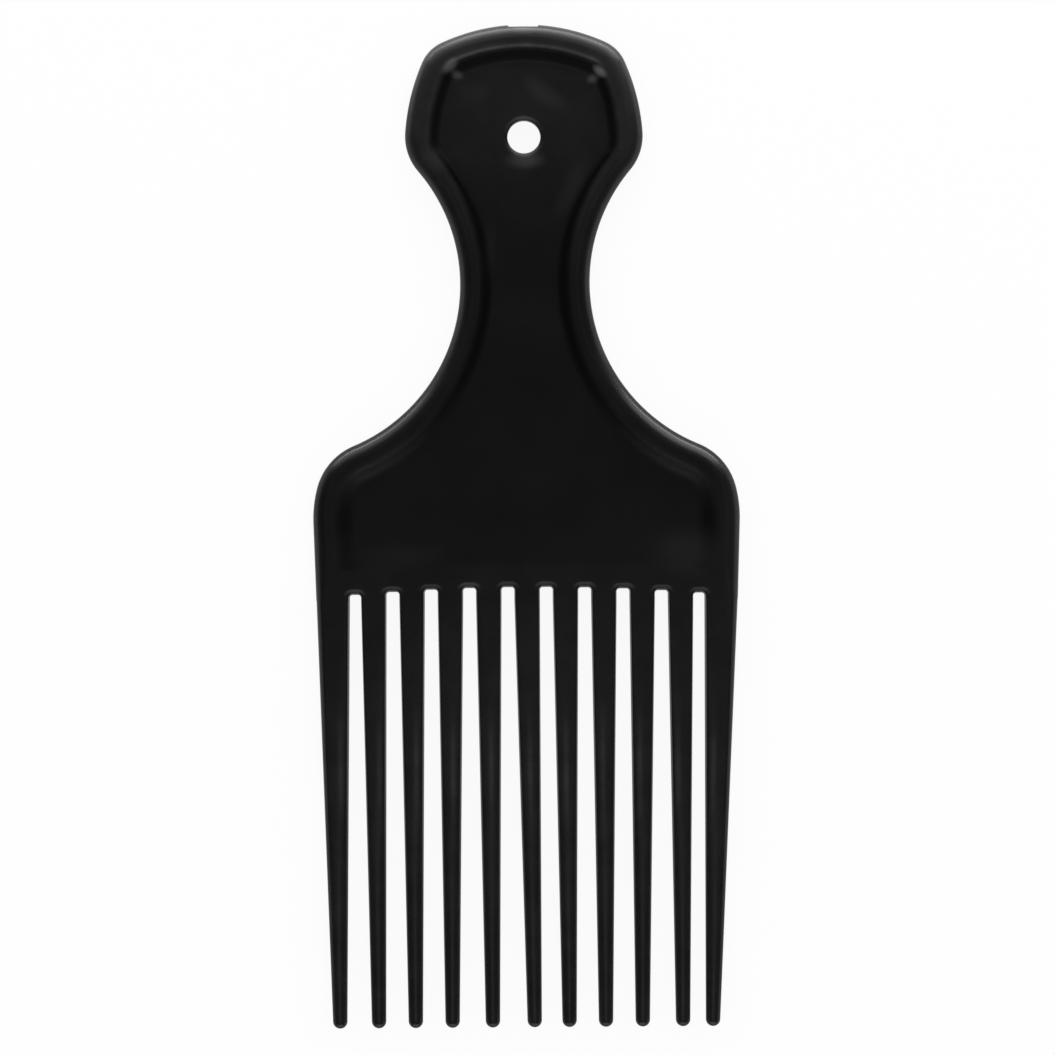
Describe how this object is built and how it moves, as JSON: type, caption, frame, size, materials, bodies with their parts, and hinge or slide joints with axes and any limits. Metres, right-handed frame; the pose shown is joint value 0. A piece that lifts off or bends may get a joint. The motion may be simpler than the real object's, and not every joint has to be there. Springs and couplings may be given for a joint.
{
  "type": "afro pick",
  "caption": "Flat moulded hair pick: long tapering teeth below a dished body, a waisted neck and a rimmed head with a hanging hole.",
  "frame": {"origin": "middle of the outline seen from above, at the height of the back face that the pick lies on", "axes": "+Y towards the head and the hanging hole, -Y towards the tips of the teeth, +Z out of the face that the picture shows"},
  "size_m": [0.0722, 0.17, 0.0044],
  "materials": {
    "black_plastic": "satin"
  },
  "bodies": {
    "root": {"handle": "black_plastic", "tooth_01": "black_plastic", "tooth_02": "black_plastic", "tooth_03": "black_plastic", "tooth_04": "black_plastic", "tooth_05": "black_plastic", "tooth_06": "black_plastic", "tooth_07": "black_plastic", "tooth_08": "black_plastic", "tooth_09": "black_plastic", "tooth_10": "black_plastic", "tooth_11": "black_plastic"}
  },
  "joints": []
}
